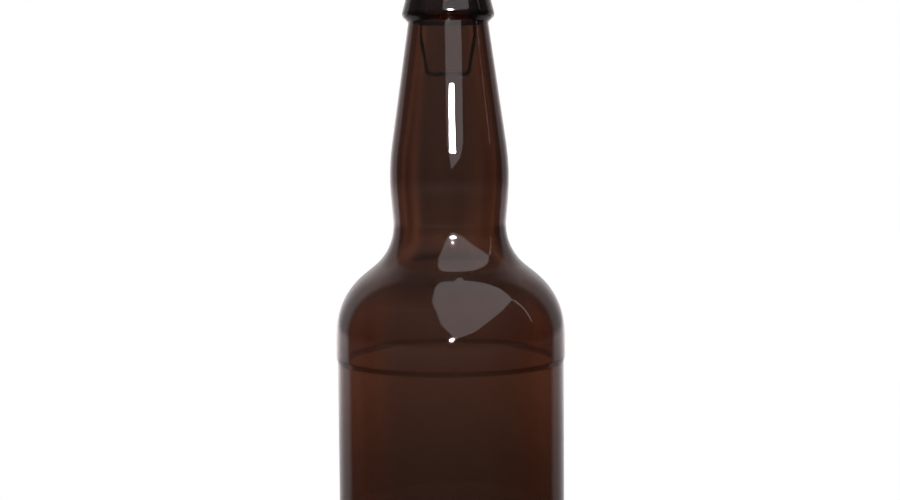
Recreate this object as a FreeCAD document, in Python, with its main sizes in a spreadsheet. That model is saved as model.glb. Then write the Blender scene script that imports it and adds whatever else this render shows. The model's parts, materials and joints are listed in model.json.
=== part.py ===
"""A one-litre swing top bottle: glass, lever wire, stopper bail, ceramic stopper and rubber washer.

Millimetres, +Z up. The origin is the centre of the ring that the bottle stands on.
The closure is modelled closed, with the lever hanging down the neck on the +Y side.
"""

import math
import os

import FreeCAD
import Part
import Sketcher
from FreeCAD import Placement, Rotation, Vector

SHEET_NAME = "Sizes"
START, END = 1, 2  # the two ends of a sketch line or arc
ORIGIN_POINT = (-1, 1)
HORIZONTAL_AXIS = -1
VERTICAL_AXIS = -2
CENTRE = 3
BEND_SHARE = 0.48  # most of a straight run that the bend at its end may use

# Driving dimensions, in millimetres.
DIMENSIONS = {
    # body
    "body_diameter": 88.0,
    "heel_radius": 8.0,
    "heel_band_height": 22.0,
    "panel_recess": 0.5,
    "panel_step_rise": 1.8,
    "panel_step_rounding": 3.0,
    "panel_top_height": 160.0,
    "stand_ring_diameter": 64.0,
    "stand_ring_rounding": 3.0,
    "punt_height": 4.0,
    # shoulder and neck: heights are rises from the corner below
    "shoulder_corner_rise": 22.8,
    "shoulder_radius": 30.0,
    "neck_root_rise": 18.6,
    "neck_root_diameter": 41.3,
    "neck_root_radius": 20.0,
    "neck_swell_rise": 30.0,
    "neck_swell_diameter": 46.3,
    "neck_swell_radius": 88.0,
    "neck_top_rise": 55.9,
    "neck_top_diameter": 30.2,
    "neck_top_radius": 0.8,
    # collar and mouth
    "bead_rise": 2.6,
    "bead_diameter": 35.4,
    "bead_radius": 2.4,
    "collar_rise": 13.4,
    "collar_diameter": 28.6,
    "collar_radius": 3.0,
    "pivot_rise": 5.8,
    "groove_depth": 1.3,
    "groove_rise": 0.9,
    "groove_rounding": 0.6,
    "lip_diameter": 27.6,
    "lip_radius": 2.2,
    "lip_inner_radius": 1.6,
    "lip_above_pivot": 9.0,
    "bore_diameter": 16.8,
    "bore_rounding": 18.0,
    # glass thickness
    "wall": 3.2,
    "base_thickness": 5.0,
    "inner_heel_radius": 9.0,
    "dimple_depth": 3.0,
    "dimple_chamfer": 0.5,
    # wires
    "lever_wire_diameter": 2.2,
    "bail_wire_diameter": 2.2,
    "running_clearance": 0.08,
    "wire_gap": 0.3,
    "glass_gap": 0.45,
    "crank_length": 7.0,
    "over_centre_angle": 8.0,
    "coil_gap": 0.15,
    "bend_radius": 3.0,
    "bead_crossing_angle": 41.0,
    "arm_tuck_angle": 47.0,
    "arm_tuck_drop": 6.1,
    "grip_drop": 40.0,
    "grip_width": 19.0,
    "grip_bow": 3.0,
    "bail_shoulder_drop": 8.4,
    # stopper and washer
    "seat_gap": 0.15,
    "washer_thickness": 3.4,
    "washer_diameter": 25.0,
    "washer_chamfer": 1.1,
    "stem_diameter": 9.6,
    "retaining_lip_diameter": 11.6,
    "tip_diameter": 8.4,
    "tip_depth": 5.0,
    "cap_diameter": 26.4,
    "cap_skirt_height": 3.6,
    "cap_rise": 14.6,
    "cap_crown_diameter": 19.0,
    "cap_rounding": 1.4,
    "crown_rounding": 4.2,
    "bail_hole_rise": 8.4,
}


class Size:
    """A length as a number and as the expression that gives it from the sheet."""

    def __init__(self, text, value):
        self.text = text
        self.value = value

    @staticmethod
    def _parts(other):
        if isinstance(other, Size):
            return other.text, other.value
        return repr(float(other)), float(other)

    def __add__(self, other):
        text, value = self._parts(other)
        return Size(f"({self.text} + {text})", self.value + value)

    def __sub__(self, other):
        text, value = self._parts(other)
        return Size(f"({self.text} - {text})", self.value - value)

    def __mul__(self, other):
        text, value = self._parts(other)
        return Size(f"{self.text} * {text}", self.value * value)

    def __truediv__(self, other):
        text, value = self._parts(other)
        return Size(f"{self.text} / {text}", self.value / value)


doc = FreeCAD.newDocument("SwingTopBottle")
sheet = doc.addObject("Spreadsheet::Sheet", SHEET_NAME)
for row, (alias, number) in enumerate(DIMENSIONS.items(), start=1):
    sheet.set(f"A{row}", alias)
    sheet.set(f"B{row}", str(number))
    sheet.setAlias(f"B{row}", alias)
doc.recompute()


def size(alias):
    """The sheet's value of one driving dimension."""
    return Size(f"{SHEET_NAME}.{alias}", float(sheet.get(alias)))


# Heights of the bottle's landmarks, worked up from the base.
GROUND = Size("0", 0.0)
SHOULDER_CORNER = size("panel_top_height") + size("shoulder_corner_rise")
NECK_ROOT = SHOULDER_CORNER + size("neck_root_rise")
NECK_SWELL = NECK_ROOT + size("neck_swell_rise")
NECK_TOP = NECK_SWELL + size("neck_top_rise")
BEAD = NECK_TOP + size("bead_rise")
COLLAR = BEAD + size("collar_rise")
PIVOT = COLLAR + size("pivot_rise")
LIP = PIVOT + size("lip_above_pivot")
SEAT = LIP + size("seat_gap")
CAP_BASE = SEAT + size("washer_thickness")
BAIL_HOLE = CAP_BASE + size("bail_hole_rise")


def settled(value):
    """A starting value for a coordinate that the sketch itself settles."""
    return Size("0", value)


class Corner:
    """One corner of an outline: where it is, how far it is rounded, and what places it.

    A coordinate that is left out of the fixed ones is settled by the runs that follow another run.
    """

    def __init__(self, x, z, rounding=None, fixed="xz"):
        self.x = x
        self.z = z
        self.rounding = rounding
        self.fixed = fixed

    @property
    def point(self):
        return Vector(self.x.value if self.x else 0.0, self.z.value, 0.0)


class Outline:
    """A closed sketch outline of straight runs and rounded corners, from the axis and back to it."""

    def __init__(self, sketch, corners):
        self.sketch = sketch
        self.corners = corners
        self.shapes = []
        self.constraints = []
        self.expressions = {}
        self.runs = []
        self.corner_points = {}
        self._draw()
        self._place()

    def _add(self, shape, construction=False):
        self.shapes.append((shape, construction))
        return len(self.shapes) - 1

    def _constrain(self, expression, *arguments):
        if expression is not None:
            self.expressions[len(self.constraints)] = expression
        self.constraints.append(Sketcher.Constraint(*arguments))

    def finish(self):
        """Put the outline in its sketch, and bind its sizes to the sheet."""
        for shape, construction in self.shapes:
            self.sketch.addGeometry(shape, construction)
        self.sketch.addConstraint(self.constraints)
        for index, expression in self.expressions.items():
            name = f"size_{index}"
            self.sketch.renameConstraint(index, name)
            self.sketch.setExpression(f"Constraints.{name}", expression)

    def _rounded(self, before, corner, after):
        """Ends and centre of the arc that rounds one corner, and the turn's direction."""
        into = (corner.point - before.point).normalize()
        out_of = (after.point - corner.point).normalize()
        turn = into.getAngle(out_of)
        reach = corner.rounding.value * math.tan(turn / 2)
        first, last = corner.point - into * reach, corner.point + out_of * reach
        leftward = into.cross(out_of).z > 0
        side = Vector(-into.y, into.x, 0.0) if leftward else Vector(into.y, -into.x, 0.0)
        return first, last, first + side * corner.rounding.value, leftward

    def _draw(self):
        corners = self.corners
        ends = []
        arcs = []
        for index, corner in enumerate(corners):
            if corner.rounding is None:
                ends.append((corner.point, corner.point))
                arcs.append(None)
                continue
            first, last, centre, leftward = self._rounded(corners[index - 1], corner, corners[index + 1])
            ends.append((first, last))
            circle = Part.Circle(centre, Vector(0, 0, 1), corner.rounding.value)
            low, high = (first, last) if leftward else (last, first)
            start_angle = math.atan2(low.y - centre.y, low.x - centre.x)
            end_angle = math.atan2(high.y - centre.y, high.x - centre.x)
            if end_angle < start_angle:
                end_angle += 2 * math.pi
            arc = self._add(Part.ArcOfCircle(circle, start_angle, end_angle))
            arcs.append((arc, START, END) if leftward else (arc, END, START))
        for index in range(len(corners)):
            start, end = ends[index][1], ends[(index + 1) % len(corners)][0]
            self.runs.append(self._add(Part.LineSegment(start, end)))
        for index, corner in enumerate(corners):
            before, after = self.runs[index - 1], self.runs[index]
            if arcs[index] is None:
                self._constrain(None, "Coincident", before, END, after, START)
                continue
            arc, entry, leave = arcs[index]
            self._constrain(None, "Tangent", before, END, arc, entry)
            self._constrain(None, "Tangent", arc, leave, after, START)
            self._constrain(corner.rounding.text, "Radius", arc, corner.rounding.value)
            point = self._add(Part.Point(corner.point), True)
            self._constrain(None, "PointOnObject", point, START, before)
            self._constrain(None, "PointOnObject", point, START, after)
            self.corner_points[index] = point

    def _handle(self, index):
        """The sketch point that stands for a corner."""
        if index in self.corner_points:
            return self.corner_points[index], START
        return self.runs[index], START

    def _place(self):
        for index, corner in enumerate(self.corners):
            geometry, end = self._handle(index)
            if corner.x is None:
                self._constrain(None, "PointOnObject", geometry, end, VERTICAL_AXIS)
            elif "x" in corner.fixed:
                self._constrain(corner.x.text, "DistanceX", *ORIGIN_POINT, geometry, end, corner.x.value)
            if "z" in corner.fixed:
                if corner.z is GROUND:
                    self._constrain(None, "PointOnObject", geometry, end, HORIZONTAL_AXIS)
                else:
                    self._constrain(corner.z.text, "DistanceY", *ORIGIN_POINT, geometry, end, corner.z.value)

    def follow(self, corner, leader, distance):
        """Keep the run that leaves one corner parallel to another corner's, a wall away from it."""
        run = self.runs[self.corners.index(corner)]
        leading = self.corners.index(leader)
        self._constrain(None, "Parallel", run, self.runs[leading])
        geometry, end = self._handle(leading)
        self._constrain(distance.text, "Distance", geometry, end, run, distance.value)


def origin_plane(body, role):
    """One of a body's own origin planes or axes."""
    return next(item for item in body.Origin.OriginFeatures if item.Role == role)


def upright_sketch(body, name, rise=None):
    """A sketch on the body's XZ plane, with its level raised to a height where one is given."""
    sketch = body.newObject("Sketcher::SketchObject", name)
    sketch.AttachmentSupport = [(origin_plane(body, "XZ_Plane"), "")]
    sketch.MapMode = "FlatFace"
    if rise is not None:
        sketch.setExpression("AttachmentOffset.Base.y", rise.text)
    return sketch


def revolved(body, sketch, name):
    """Spin an outline once round the sketch's vertical axis."""
    spin = body.newObject("PartDesign::Revolution", name)
    spin.Profile = sketch
    spin.ReferenceAxis = (sketch, ["V_Axis"])
    spin.Angle = 360.0
    return spin


def mitred(before, corner, after, distance):
    """The corner, to the left of three points, of a line that stays a distance from theirs."""
    into = (corner - before).normalize()
    out_of = (after - corner).normalize()
    across = Vector(-into.y, into.x, 0) + Vector(-out_of.y, out_of.x, 0)
    return corner + across * (2 * distance / across.dot(across))


def make_glass():
    """The bottle: one spun outline of outer and inner faces, with a dimple each side for the lever."""
    body = doc.addObject("PartDesign::Body", "GlassBottle")
    body.Label = "glass_bottle"
    half_body = size("body_diameter") / 2
    half_panel = half_body - size("panel_recess")
    step, step_round = size("panel_step_rise"), size("panel_step_rounding")
    heel_band, panel_top = size("heel_band_height"), size("panel_top_height")
    collar_half = size("collar_diameter") / 2
    lip_half = size("lip_diameter") / 2
    groove_half = collar_half - size("groove_depth")
    groove_rise = size("groove_rise")
    bore_half = size("bore_diameter") / 2
    wall = size("wall")
    inner_half = half_panel - wall
    lip_low = LIP - (size("lip_radius") + groove_rise * 2)
    shoulder = Corner(half_body, SHOULDER_CORNER, size("shoulder_radius"))
    root = Corner(size("neck_root_diameter") / 2, NECK_ROOT, size("neck_root_radius"))
    swell = Corner(size("neck_swell_diameter") / 2, NECK_SWELL, size("neck_swell_radius"))
    outer = [
        Corner(None, size("punt_height")),
        Corner(size("stand_ring_diameter") / 2, GROUND, size("stand_ring_rounding")),
        Corner(half_body, GROUND, size("heel_radius")),
        Corner(half_body, heel_band, step_round),
        Corner(half_panel, heel_band + step, step_round),
        Corner(half_panel, panel_top - step, step_round),
        Corner(half_body, panel_top, step_round),
        shoulder,
        root,
        swell,
        Corner(size("neck_top_diameter") / 2, NECK_TOP, size("neck_top_radius")),
        Corner(size("bead_diameter") / 2, BEAD, size("bead_radius")),
        Corner(collar_half, COLLAR, size("collar_radius")),
        Corner(collar_half, lip_low - groove_rise, size("groove_rounding")),
        Corner(groove_half, lip_low, size("groove_rounding")),
        Corner(lip_half, lip_low + groove_rise, size("groove_rounding")),
        Corner(lip_half, LIP, size("lip_radius")),
    ]
    slope, rise = root.point - shoulder.point, swell.point - root.point
    root_place = mitred(shoulder.point, root.point, swell.point, wall.value)
    shoulder_place = root_place + slope * ((inner_half.value - root_place.x) / slope.x)
    swell_place = root_place + rise * ((NECK_SWELL.value - root_place.y) / rise.y)
    inner_swell = Corner(settled(swell_place.x), NECK_SWELL, size("neck_swell_radius") - wall, "z")
    inner_root = Corner(settled(root_place.x), settled(root_place.y), size("neck_root_radius") + wall, "")
    inner = [
        Corner(bore_half, LIP, size("lip_inner_radius")),
        Corner(bore_half, COLLAR, size("bore_rounding")),
        Corner(size("neck_top_diameter") / 2 - wall, NECK_TOP, size("bore_rounding")),
        inner_swell,
        inner_root,
        Corner(inner_half, settled(shoulder_place.y), size("shoulder_radius") - wall, "x"),
        Corner(inner_half, size("base_thickness"), size("inner_heel_radius")),
        Corner(None, size("base_thickness") + size("punt_height")),
    ]
    sketch = upright_sketch(body, "GlassOutline")
    outline = Outline(sketch, outer + inner)
    outline.follow(inner_swell, root, wall)
    outline.follow(inner_root, shoulder, wall)
    outline.finish()
    revolved(body, sketch, "GlassShell")
    doc.recompute()

    dimple = upright_sketch(body, "DimpleOutline", PIVOT)
    hole_half = size("lever_wire_diameter") / 2 + size("running_clearance")
    floor = collar_half - size("dimple_depth")
    chamfer = size("dimple_chamfer")
    outside = collar_half + size("dimple_depth")
    pit = [
        (floor, None),
        (floor, hole_half),
        (collar_half - chamfer, hole_half),
        (collar_half + chamfer, hole_half + chamfer * 2),
        (outside, hole_half + chamfer * 2),
        (outside, None),
    ]
    points = [Vector(x.value, z.value if z else 0.0, 0.0) for x, z in pit]
    sides = [dimple.addGeometry(Part.LineSegment(points[i - 1], points[i]), False) for i in range(len(points))]
    for index, (x, z) in enumerate(pit):
        following = sides[(index + 1) % len(sides)]
        dimple.addConstraint(Sketcher.Constraint("Coincident", sides[index], END, following, START))
        across = dimple.addConstraint(
            Sketcher.Constraint("DistanceX", *ORIGIN_POINT, sides[index], END, x.value))
        dimple.renameConstraint(across, f"across_{index}")
        dimple.setExpression(f"Constraints.across_{index}", x.text)
        if z is None:
            dimple.addConstraint(Sketcher.Constraint("PointOnObject", sides[index], END, HORIZONTAL_AXIS))
            continue
        up = dimple.addConstraint(Sketcher.Constraint("DistanceY", *ORIGIN_POINT, sides[index], END, z.value))
        dimple.renameConstraint(up, f"up_{index}")
        dimple.setExpression(f"Constraints.up_{index}", z.text)
    cut = body.newObject("PartDesign::Groove", "Dimple")
    cut.Profile = dimple
    cut.ReferenceAxis = (dimple, ["H_Axis"])
    cut.Angle = 360.0
    doc.recompute()
    pair = body.newObject("PartDesign::Mirrored", "DimplePair")
    pair.Originals = [cut]
    pair.MirrorPlane = (origin_plane(body, "YZ_Plane"), [""])
    body.Tip = pair
    return body


def make_stopper():
    """The ceramic stopper: stem and retaining lip below, skirt and crown above, bored for the bail."""
    body = doc.addObject("PartDesign::Body", "Stopper")
    body.Label = "stopper"
    rounding = size("cap_rounding")
    stem_half = size("stem_diameter") / 2
    tip_half = size("tip_diameter") / 2
    retainer_half = size("retaining_lip_diameter") / 2
    retainer_low = SEAT - rounding
    cap_half, crown_half = size("cap_diameter") / 2, size("cap_crown_diameter") / 2
    small = rounding / 4
    sketch = upright_sketch(body, "StopperOutline")
    Outline(sketch, [
        Corner(None, SEAT - size("tip_depth")),
        Corner(tip_half, SEAT - size("tip_depth"), rounding),
        Corner(retainer_half, retainer_low, small),
        Corner(retainer_half, SEAT - small, small),
        Corner(stem_half, SEAT),
        Corner(stem_half, CAP_BASE),
        Corner(cap_half, CAP_BASE, rounding),
        Corner(cap_half, CAP_BASE + size("cap_skirt_height"), rounding),
        Corner(crown_half, CAP_BASE + size("cap_skirt_height") + rounding, rounding),
        Corner(crown_half, CAP_BASE + size("cap_rise"), size("crown_rounding")),
        Corner(None, CAP_BASE + size("cap_rise")),
    ]).finish()
    revolved(body, sketch, "StopperShape")
    doc.recompute()
    hole_sketch = body.newObject("Sketcher::SketchObject", "BailHoleOutline")
    hole_sketch.AttachmentSupport = [(origin_plane(body, "YZ_Plane"), "")]
    hole_sketch.MapMode = "FlatFace"
    circle = hole_sketch.addGeometry(Part.Circle(Vector(0, BAIL_HOLE.value, 0), Vector(0, 0, 1), 1.0), False)
    hole_sketch.addConstraint(Sketcher.Constraint("PointOnObject", circle, CENTRE, VERTICAL_AXIS))
    up = hole_sketch.addConstraint(
        Sketcher.Constraint("DistanceY", *ORIGIN_POINT, circle, CENTRE, BAIL_HOLE.value))
    hole_sketch.renameConstraint(up, "up")
    hole_sketch.setExpression("Constraints.up", BAIL_HOLE.text)
    hole_half = size("bail_wire_diameter") / 2 + size("running_clearance")
    radius = hole_sketch.addConstraint(Sketcher.Constraint("Radius", circle, hole_half.value))
    hole_sketch.renameConstraint(radius, "radius")
    hole_sketch.setExpression("Constraints.radius", hole_half.text)
    doc.recompute()
    hole = body.newObject("PartDesign::Pocket", "BailHole")
    hole.Profile = hole_sketch
    hole.Type = "ThroughAll"
    hole.Midplane = True
    body.Tip = hole
    return body


def make_washer():
    """The rubber washer: a flat ring with a chamfered rim, held between the retaining lip and the cap."""
    body = doc.addObject("PartDesign::Body", "Washer")
    body.Label = "sealing_washer"
    outline = upright_sketch(body, "WasherOutline")
    inner_half = size("stem_diameter") / 2 + size("running_clearance")
    outer_half = size("washer_diameter") / 2
    chamfer = size("washer_chamfer")
    ring = [
        (inner_half, SEAT),
        (outer_half - chamfer, SEAT),
        (outer_half, SEAT + chamfer),
        (outer_half, CAP_BASE),
        (inner_half, CAP_BASE),
    ]
    points = [Vector(x.value, z.value, 0.0) for x, z in ring]
    sides = [outline.addGeometry(Part.LineSegment(points[i - 1], points[i]), False) for i in range(len(points))]
    for index, (x, z) in enumerate(ring):
        following = sides[(index + 1) % len(sides)]
        outline.addConstraint(Sketcher.Constraint("Coincident", sides[index], END, following, START))
        for kind, name, length in (("DistanceX", "across", x), ("DistanceY", "up", z)):
            at = outline.addConstraint(
                Sketcher.Constraint(kind, *ORIGIN_POINT, sides[index], END, length.value))
            outline.renameConstraint(at, f"{name}_{index}")
            outline.setExpression(f"Constraints.{name}_{index}", length.text)
    revolved(body, outline, "WasherShape")
    return body


def bent_path(points, radius):
    """A wire path through points, in straight runs joined by tangent arcs."""
    edges = []
    start = points[0]
    for before, corner, after in zip(points, points[1:], points[2:]):
        into = (corner - before).normalize()
        out_of = (after - corner).normalize()
        turn = into.getAngle(out_of)
        room = min(corner.distanceToPoint(before), corner.distanceToPoint(after)) * BEND_SHARE
        bend = min(radius, room / math.tan(turn / 2))
        reach = bend * math.tan(turn / 2)
        first, last = corner - into * reach, corner + out_of * reach
        inward = (out_of - into).normalize()
        middle = corner + inward * (bend / math.cos(turn / 2) - bend)
        edges.append(Part.LineSegment(start, first).toShape())
        edges.append(Part.Arc(first, middle, last).toShape())
        start = last
    edges.append(Part.LineSegment(start, points[-1]).toShape())
    return Part.Wire(edges)


def swept_wire(name, points, diameter, radius):
    """A round wire along a bent path: a spine, a circle on its end and a sweep of one along the other."""
    spine = doc.addObject("Part::Feature", f"{name}Spine")
    spine.Shape = bent_path(points, radius)
    section = doc.addObject("Part::Circle", f"{name}Section")
    section.setExpression("Radius", (diameter / 2).text)
    facing = Rotation(Vector(0, 0, 1), points[1] - points[0])
    section.Placement = Placement(points[0], facing)
    sweep = doc.addObject("Part::Sweep", f"{name}Sweep")
    sweep.Sections = [section]
    sweep.Spine = (spine, [])
    sweep.Solid = True
    sweep.Frenet = False
    return sweep


def glass_radius(height):
    """Outer radius of the neck and collar at a height, corners taken as sharp."""
    chain = [
        (NECK_SWELL.value, size("neck_swell_diameter").value / 2),
        (NECK_TOP.value, size("neck_top_diameter").value / 2),
        (BEAD.value, size("bead_diameter").value / 2),
        (COLLAR.value, size("collar_diameter").value / 2),
        (LIP.value, size("collar_diameter").value / 2),
    ]
    for (low, low_radius), (high, high_radius) in zip(chain, chain[1:]):
        if low <= height <= high:
            return low_radius + (high_radius - low_radius) * (height - low) / (high - low)
    raise ValueError("height is off the neck")


LEVER_HALF = (size("lever_wire_diameter") / 2).value
BAIL_HALF = (size("bail_wire_diameter") / 2).value
EYE_RADIUS = BAIL_HALF + size("running_clearance").value + LEVER_HALF  # to the wire's centre line
CRANK = size("crank_length").value
OVER_CENTRE = math.radians(size("over_centre_angle").value)
EYE_CENTRE = Vector(0.0, -CRANK * math.sin(OVER_CENTRE), PIVOT.value - CRANK * math.cos(OVER_CENTRE))
EYE_LOW = EYE_CENTRE.z - EYE_RADIUS - LEVER_HALF
ARM_X = glass_radius(EYE_LOW) + size("glass_gap").value + LEVER_HALF
COIL_X = ARM_X + LEVER_HALF * 2 + size("coil_gap").value  # the eye's second turn
BAIL_X = COIL_X + LEVER_HALF + size("wire_gap").value + BAIL_HALF


def make_lever():
    """The lever wire: pivot ends in the glass, cranks, coiled eyes for the bail, and the thumb grip behind."""
    pin_tip = size("collar_diameter").value / 2 - size("dimple_depth").value + size("glass_gap").value
    low, high = EYE_CENTRE.z - EYE_RADIUS, EYE_CENTRE.z + EYE_RADIUS
    front, back = EYE_CENTRE.y - EYE_RADIUS, EYE_CENTRE.y + EYE_RADIUS
    clear = size("glass_gap").value + LEVER_HALF
    past_bead = size("bead_diameter").value / 2 + clear + LEVER_HALF
    crossing = math.radians(size("bead_crossing_angle").value)
    tuck = math.radians(size("arm_tuck_angle").value)
    grip_low = PIVOT.value - size("grip_drop").value
    grip_y = glass_radius(grip_low) + clear + size("grip_bow").value
    right = [
        Vector(pin_tip, 0.0, PIVOT.value),
        Vector(ARM_X, 0.0, PIVOT.value),
        Vector(ARM_X, front, high),
        Vector(ARM_X, front, low),
        Vector(ARM_X, back, low),
        Vector((ARM_X + COIL_X) / 2, back, high),
        Vector(COIL_X, front, high),
        Vector(COIL_X, front, low),
        Vector(COIL_X, back + LEVER_HALF * 2, low),
        Vector(past_bead * math.cos(crossing), past_bead * math.sin(crossing), low - LEVER_HALF / 2),
        Vector(past_bead * math.cos(tuck), past_bead * math.sin(tuck), BEAD.value - size("arm_tuck_drop").value),
        Vector(size("grip_width").value / 2, grip_y, grip_low),
    ]
    left = [Vector(-point.x, point.y, point.z) for point in reversed(right)]
    lever = swept_wire("Lever", right + left, size("lever_wire_diameter"), size("bend_radius").value)
    lever.Label = "lever_wire"
    return lever


def make_bail():
    """The stopper bail: one wire through the stopper, down both sides and hooked through the lever's eyes."""
    hole = Vector(0.0, 0.0, BAIL_HOLE.value)
    down = (EYE_CENTRE - hole).normalize()
    hook_tip = ARM_X - LEVER_HALF - size("wire_gap").value
    top_x = size("cap_diameter").value / 2 + size("wire_gap").value + size("bend_radius").value
    right = [
        Vector(hook_tip, EYE_CENTRE.y, EYE_CENTRE.z),
        Vector(BAIL_X, EYE_CENTRE.y, EYE_CENTRE.z),
        Vector(BAIL_X, 0.0, 0.0) + hole + down * size("bail_shoulder_drop").value,
        Vector(top_x, 0.0, 0.0) + hole,
    ]
    left = [Vector(-point.x, point.y, point.z) for point in reversed(right)]
    bail = swept_wire("Bail", right + left, size("bail_wire_diameter"), size("bend_radius").value)
    bail.Label = "stopper_bail"
    return bail


sub_parts = [make_glass(), make_lever(), make_bail(), make_stopper(), make_washer()]
doc.recompute()

for item in doc.Objects:
    if {"Invalid", "Error"} & set(item.State):
        raise RuntimeError(f"{item.Name} did not build: {item.State}")
for item in sub_parts:
    if item.Shape.isNull() or not item.Shape.isValid():
        raise RuntimeError(f"{item.Label} has no valid shape")

os.makedirs("parts", exist_ok=True)
for item in sub_parts:
    item.Shape.exportStep(os.path.join("parts", f"{item.Label}.step"))
    box = item.Shape.BoundBox
    print(f"{item.Label}: solids {len(item.Shape.Solids)}, volume {item.Shape.Volume:.1f} mm3, "
          f"z {box.ZMin:.2f} to {box.ZMax:.2f}, x {box.XMin:.2f} to {box.XMax:.2f}, "
          f"y {box.YMin:.2f} to {box.YMax:.2f}")
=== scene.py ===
"""Looks of the swing top bottle: amber glass, wire closure, ceramic stopper and rubber washer.

Metres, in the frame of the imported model: +Z up the bottle, the closed lever on the +Y side.
"""

from __future__ import annotations

import json
import logging
import math
from dataclasses import dataclass, field
from enum import Enum

import bmesh
import bpy
from mathutils import Euler, Matrix, Vector, noise

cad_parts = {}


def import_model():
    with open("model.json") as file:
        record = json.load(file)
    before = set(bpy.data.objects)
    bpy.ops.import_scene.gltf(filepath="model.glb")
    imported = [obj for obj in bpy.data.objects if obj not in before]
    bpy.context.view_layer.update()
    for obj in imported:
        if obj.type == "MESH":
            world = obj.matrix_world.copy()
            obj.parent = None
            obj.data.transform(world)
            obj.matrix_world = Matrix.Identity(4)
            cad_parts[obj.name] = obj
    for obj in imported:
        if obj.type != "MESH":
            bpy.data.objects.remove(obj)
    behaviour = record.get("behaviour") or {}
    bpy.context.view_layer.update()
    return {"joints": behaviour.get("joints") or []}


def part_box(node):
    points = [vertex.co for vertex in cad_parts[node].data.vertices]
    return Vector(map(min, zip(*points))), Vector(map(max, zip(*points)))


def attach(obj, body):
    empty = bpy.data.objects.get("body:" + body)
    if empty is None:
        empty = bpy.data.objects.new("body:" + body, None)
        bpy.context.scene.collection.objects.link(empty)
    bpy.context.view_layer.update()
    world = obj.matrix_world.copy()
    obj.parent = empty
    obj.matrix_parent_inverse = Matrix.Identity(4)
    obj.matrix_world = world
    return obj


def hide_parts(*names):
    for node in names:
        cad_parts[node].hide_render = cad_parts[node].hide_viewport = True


MM = 0.001
SHORTEST_RUN = 1e-7
SMALLEST_TURN = 1e-4
MERGE_DISTANCE = 1e-6
TOOL_STEPS = 32
TOOL_ARC_STEP = math.radians(15)
WHITE = (1.0, 1.0, 1.0)
LOG = logging.getLogger("swing_top_bottle")
JOINTS: dict[str, Vector] = {}


class Body(Enum):
    """The bodies that pieces ride on."""

    BOTTLE = "bottle"
    LEVER = "lever"
    BAIL = "bail"
    STOPPER = "stopper_head"


class Slot(Enum):
    """The record's material slots."""

    GLASS = "amber_glass"
    WIRE = "closure_wire"
    CERAMIC = "glazed_ceramic"
    RUBBER = "washer_rubber"


# --------------------------------------------------------------------------- node helpers


class NodeSheet:
    """A short way to add and join nodes in one tree."""

    def __init__(self, tree: bpy.types.NodeTree) -> None:
        """Take a tree and empty it.

        Args:
            tree: The node tree to fill.
        """
        self.tree = tree
        tree.nodes.clear()

    def add(self, kind: str, inputs: dict[str, object] | None = None, **settings: object) -> bpy.types.Node:
        """Add a node.

        Args:
            kind: The node's type name.
            inputs: Values or sockets for its inputs, by name.
            **settings: Properties of the node.

        Returns:
            The new node.
        """
        node = self.tree.nodes.new(kind)
        for name, value in settings.items():
            setattr(node, name, value)
        for name, value in (inputs or {}).items():
            socket = node.inputs[name]
            if isinstance(value, bpy.types.NodeSocket):
                self.tree.links.new(value, socket)
            else:
                socket.default_value = value
        return node

    def math(self, operation: str, first: object, second: object = 0.0) -> bpy.types.NodeSocket:
        """Add a math node and give its result.

        Args:
            operation: The math node's operation.
            first: A number or a socket.
            second: A number or a socket.

        Returns:
            The result's socket.
        """
        node = self.tree.nodes.new("ShaderNodeMath")
        node.operation = operation
        for socket, value in zip(node.inputs, (first, second)):
            if isinstance(value, bpy.types.NodeSocket):
                self.tree.links.new(value, socket)
            else:
                socket.default_value = value
        return node.outputs[0]

    def ramp(self, factor: object, stops: list[tuple[float, tuple[float, float, float]]]) -> bpy.types.NodeSocket:
        """Add a colour ramp.

        Args:
            factor: The socket that drives it.
            stops: Positions with their colours.

        Returns:
            The colour's socket.
        """
        node = self.add("ShaderNodeValToRGB", {"Fac": factor})
        elements = node.color_ramp.elements
        while len(elements) < len(stops):
            elements.new(0.5)
        for element, (position, colour) in zip(elements, stops):
            element.position = position
            element.color = (*colour, 1.0)
        return node.outputs["Color"]


def mottle_group() -> bpy.types.NodeTree:
    """Fine unevenness that several finishes share: a mask of soft blotches and a height of fine grain.

    Returns:
        The shader node group.
    """
    name = "SurfaceMottle"
    if name in bpy.data.node_groups:
        return bpy.data.node_groups[name]
    group = bpy.data.node_groups.new(name, "ShaderNodeTree")
    sheet = NodeSheet(group)
    face = group.interface
    face.new_socket("Vector", in_out="INPUT", socket_type="NodeSocketVector")
    for label, default in (("Blotch Scale", 60.0), ("Grain Scale", 900.0), ("Contrast", 1.0)):
        face.new_socket(label, in_out="INPUT", socket_type="NodeSocketFloat").default_value = default
    face.new_socket("Blotches", in_out="OUTPUT", socket_type="NodeSocketFloat")
    face.new_socket("Grain", in_out="OUTPUT", socket_type="NodeSocketFloat")
    given = sheet.add("NodeGroupInput")
    blotch = sheet.add("ShaderNodeTexNoise", {
        "Vector": given.outputs["Vector"], "Scale": given.outputs["Blotch Scale"], "Detail": 3.0})
    grain = sheet.add("ShaderNodeTexNoise", {
        "Vector": given.outputs["Vector"], "Scale": given.outputs["Grain Scale"], "Detail": 2.0})
    centred = sheet.math("SUBTRACT", blotch.outputs["Fac"], 0.5)
    mask = sheet.math("ADD", sheet.math("MULTIPLY", centred, given.outputs["Contrast"]), 0.5)
    sheet.add("NodeGroupOutput", {"Blotches": mask, "Grain": grain.outputs["Fac"]})
    return group


def new_material(name: str) -> tuple[bpy.types.Material, NodeSheet]:
    """Start an empty node material.

    Args:
        name: The material's name.

    Returns:
        The material and the sheet of its tree.
    """
    material = bpy.data.materials.new(name)
    material.use_nodes = True
    return material, NodeSheet(material.node_tree)


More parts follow.
